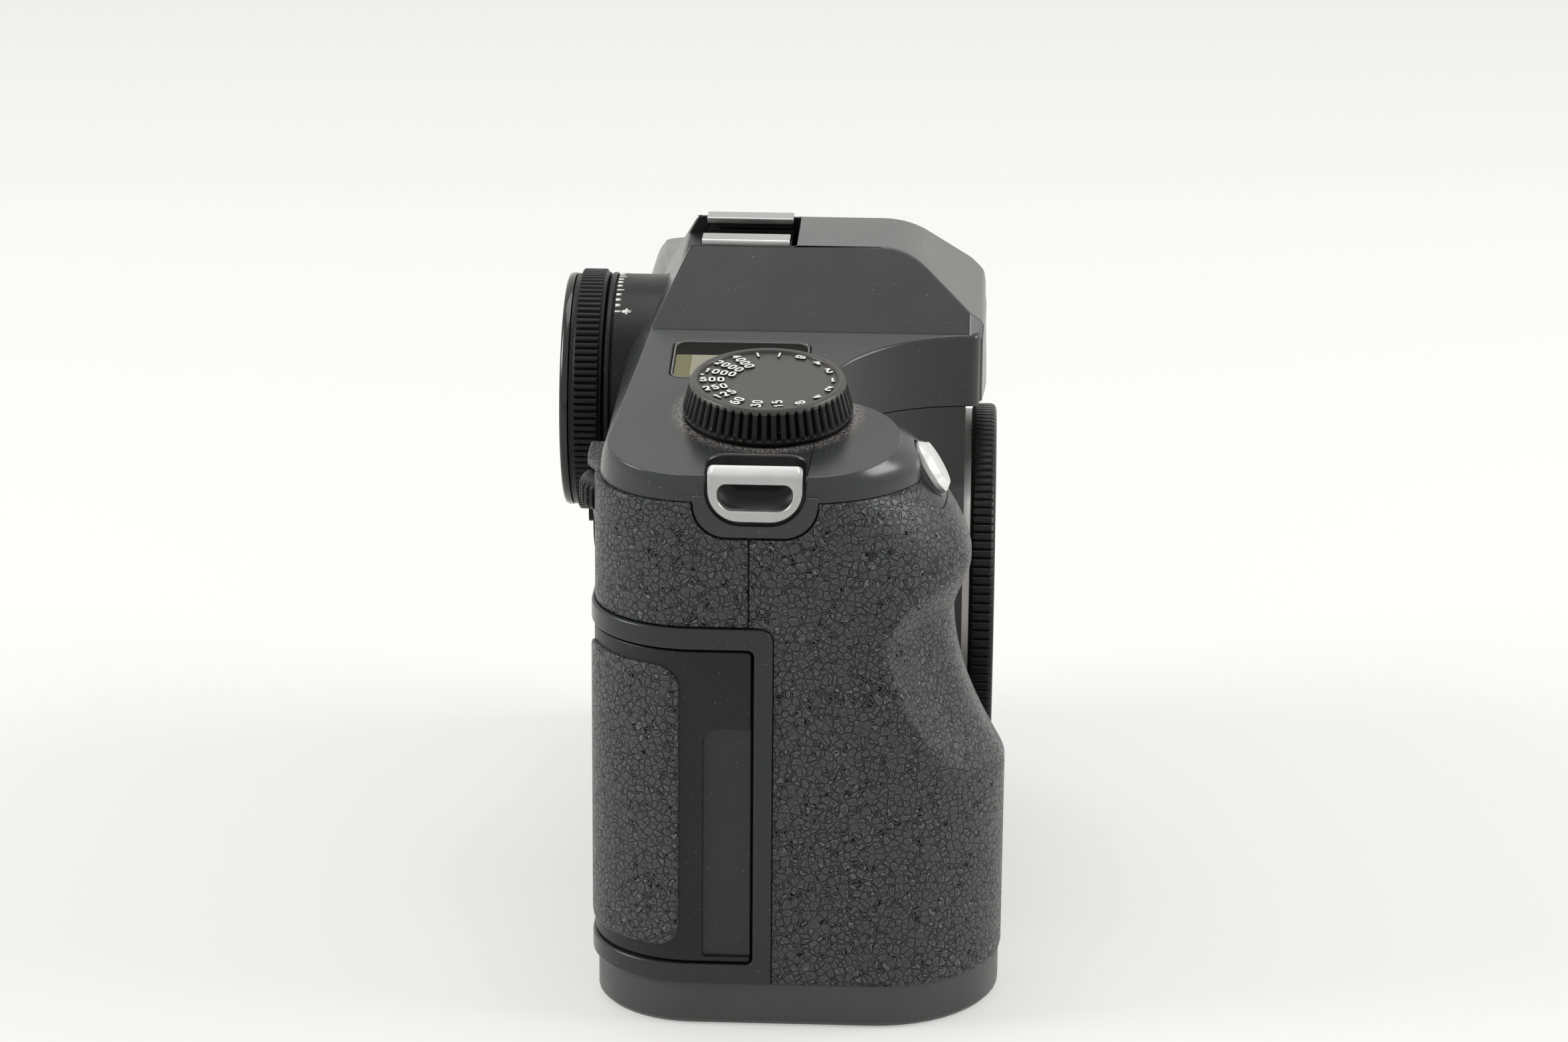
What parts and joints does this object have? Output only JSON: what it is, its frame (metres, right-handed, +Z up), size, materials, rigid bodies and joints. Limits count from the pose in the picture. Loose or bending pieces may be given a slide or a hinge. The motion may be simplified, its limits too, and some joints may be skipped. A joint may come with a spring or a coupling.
{
  "type": "medium format digital camera body",
  "caption": "Black single-lens reflex camera body with deep leatherette grip, prism hump, shutter dial, round eyepiece, card door, strap lugs and a body cap over its lens mount.",
  "frame": {"origin": "mouth of the small tripod socket in the base, straight below the optical axis", "axes": "+Z up, -Y towards the lens side, +Y towards the eyepiece, -X towards the grip; the longest extent is along X"},
  "size_m": [0.1616, 0.0806, 0.12],
  "materials": {
    "black_paint": "fine matte black lacquer",
    "leatherette": "pebble-grained synthetic leather",
    "black_plastic": "matte black",
    "gloss_black": "polished black",
    "black_rubber": "soft black",
    "steel": "satin",
    "satin_silver": "satin",
    "optical_glass": "polished",
    "display_glass": "polished, dark",
    "olive_display": "olive grey display",
    "dark_display": "dark display",
    "mirror_silver": "front-silvered",
    "circuit_board": "green"
  },
  "bodies": {
    "camera": {"base_plate": "black_paint", "front_shell": "black_paint", "mount_barrel": "black_paint", "rear_cover": "black_paint", "top_cover": "black_paint", "card_door_frame": "black_paint", "grip_cover": "leatherette", "rear_grip_cover": "leatherette", "left_cover": "leatherette", "battery_box": "black_plastic", "eyepiece_barrel": "black_plastic", "hot_shoe_contacts": "black_plastic", "card_slot": "black_plastic", "port_block": "black_plastic", "mirror_box": "black_plastic", "shutter_unit": "black_plastic", "eyepiece_rim": "gloss_black", "lens_mount": "steel", "mount_screws": "steel", "base_screws": "steel", "tripod_socket": "steel", "tripod_socket_large": "steel", "strap_lug_right": "steel", "strap_lug_left": "steel", "hot_shoe": "steel", "mirror_pin": "steel", "pentaprism": "optical_glass", "focusing_screen": "optical_glass", "eyepiece_lens": "optical_glass", "rear_display_glass": "display_glass", "top_display_glass": "display_glass", "top_display_panel": "olive_display", "rear_display_panel": "dark_display", "image_sensor": "dark_display", "main_board": "circuit_board"},
    "shutter_dial": {"shutter_dial": "black_plastic", "dial_shaft": "steel"},
    "thumb_wheel": {"thumb_wheel": "black_plastic", "thumb_wheel_shaft": "steel"},
    "dioptre_ring": {"dioptre_ring": "black_plastic"},
    "body_cap": {"body_cap": "black_plastic"},
    "release_button": {"release_button": "satin_silver"},
    "door_carrier": {"door_hinge_carrier": "satin_silver", "door_hinge_pin": "steel"},
    "card_door": {"card_door": "black_paint", "card_door_leatherette": "leatherette"},
    "battery": {"battery": "black_plastic"},
    "battery_lock": {"battery_lock": "satin_silver"},
    "mirror": {"mirror_holder": "satin_silver", "reflex_mirror": "mirror_silver"},
    "main_switch": {"main_switch": "black_plastic"},
    "rear_button_upper_left": {"rear_button_upper_left": "satin_silver"},
    "rear_button_lower_left": {"rear_button_lower_left": "satin_silver"},
    "rear_button_upper_right": {"rear_button_upper_right": "satin_silver"},
    "rear_button_lower_right": {"rear_button_lower_right": "satin_silver"},
    "lens_release": {"lens_release_button": "gloss_black"},
    "stop_down": {"stop_down_button": "gloss_black"},
    "port_cover_upper": {"port_cover_upper": "black_rubber"},
    "port_cover_lower": {"port_cover_lower": "black_rubber"}
  },
  "joints": [
    {"name": "shutter_dial_turn", "type": "hinge", "parent": "camera", "child": "shutter_dial", "pos_m": [-0.0581, 0.0046, 0.10165], "axis": [-0.1426, 0, 0.9898], "continuous": true},
    {"name": "thumb_wheel_turn", "type": "hinge", "parent": "camera", "child": "thumb_wheel", "pos_m": [-0.062, 0.0285, 0.0889], "axis": [0, 0, 1], "continuous": true},
    {"name": "dioptre_turn", "type": "hinge", "parent": "camera", "child": "dioptre_ring", "pos_m": [0, 0.039, 0.0888], "axis": [0, 1, 0], "range_deg": [-60, 60]},
    {"name": "body_cap_twist", "type": "hinge", "parent": "camera", "child": "body_cap", "pos_m": [0, -0.032, 0.05], "axis": [0, 1, 0], "range_deg": [0, 60]},
    {"name": "release_press", "type": "slide", "parent": "camera", "child": "release_button", "axis": [0, 0.8554, -0.518], "range_m": [0, 0.0012], "stiffness_N_per_m": 700},
    {"name": "door_unlatch", "type": "slide", "parent": "camera", "child": "door_carrier", "axis": [0, 1, 0], "range_m": [0, 0.003]},
    {"name": "door_swing", "type": "hinge", "parent": "door_carrier", "child": "card_door", "pos_m": [-0.0635, 0.0309, 0.04], "axis": [0, 0, -1], "range_deg": [0, 90]},
    {"name": "battery_out", "type": "slide", "parent": "camera", "child": "battery", "axis": [0, 0, -1], "range_m": [0, 0.062]},
    {"name": "battery_lock_turn", "type": "hinge", "parent": "camera", "child": "battery_lock", "pos_m": [-0.04, 0.012, 0.001], "axis": [0, 0, 1], "range_deg": [0, 90]},
    {"name": "mirror_swing", "type": "hinge", "parent": "camera", "child": "mirror", "pos_m": [0, 0.0092, 0.066], "axis": [-1, 0, 0], "range_deg": [0, 45]},
    {"name": "main_switch_turn", "type": "hinge", "parent": "camera", "child": "main_switch", "pos_m": [-0.039, 0.034, 0.078], "axis": [0, 1, 0], "range_deg": [0, 40]},
    {"name": "rear_button_upper_left_press", "type": "slide", "parent": "camera", "child": "rear_button_upper_left", "axis": [0, -1, 0], "range_m": [0, 0.0008], "stiffness_N_per_m": 700},
    {"name": "rear_button_lower_left_press", "type": "slide", "parent": "camera", "child": "rear_button_lower_left", "axis": [0, -1, 0], "range_m": [0, 0.0008], "stiffness_N_per_m": 700},
    {"name": "rear_button_upper_right_press", "type": "slide", "parent": "camera", "child": "rear_button_upper_right", "axis": [0, -1, 0], "range_m": [0, 0.0008], "stiffness_N_per_m": 700},
    {"name": "rear_button_lower_right_press", "type": "slide", "parent": "camera", "child": "rear_button_lower_right", "axis": [0, -1, 0], "range_m": [0, 0.0008], "stiffness_N_per_m": 700},
    {"name": "lens_release_press", "type": "slide", "parent": "camera", "child": "lens_release", "axis": [0, 1, 0], "range_m": [0, 0.002], "stiffness_N_per_m": 700},
    {"name": "stop_down_press", "type": "slide", "parent": "camera", "child": "stop_down", "axis": [0, 1, 0], "range_m": [0, 0.0015], "stiffness_N_per_m": 700},
    {"name": "port_cover_upper_swing", "type": "hinge", "parent": "camera", "child": "port_cover_upper", "pos_m": [0.074, 0.0075, 0.064], "axis": [0, 0, -1], "range_deg": [0, 100]},
    {"name": "port_cover_lower_swing", "type": "hinge", "parent": "camera", "child": "port_cover_lower", "pos_m": [0.074, 0.0075, 0.032], "axis": [0, 0, -1], "range_deg": [0, 100]}
  ]
}
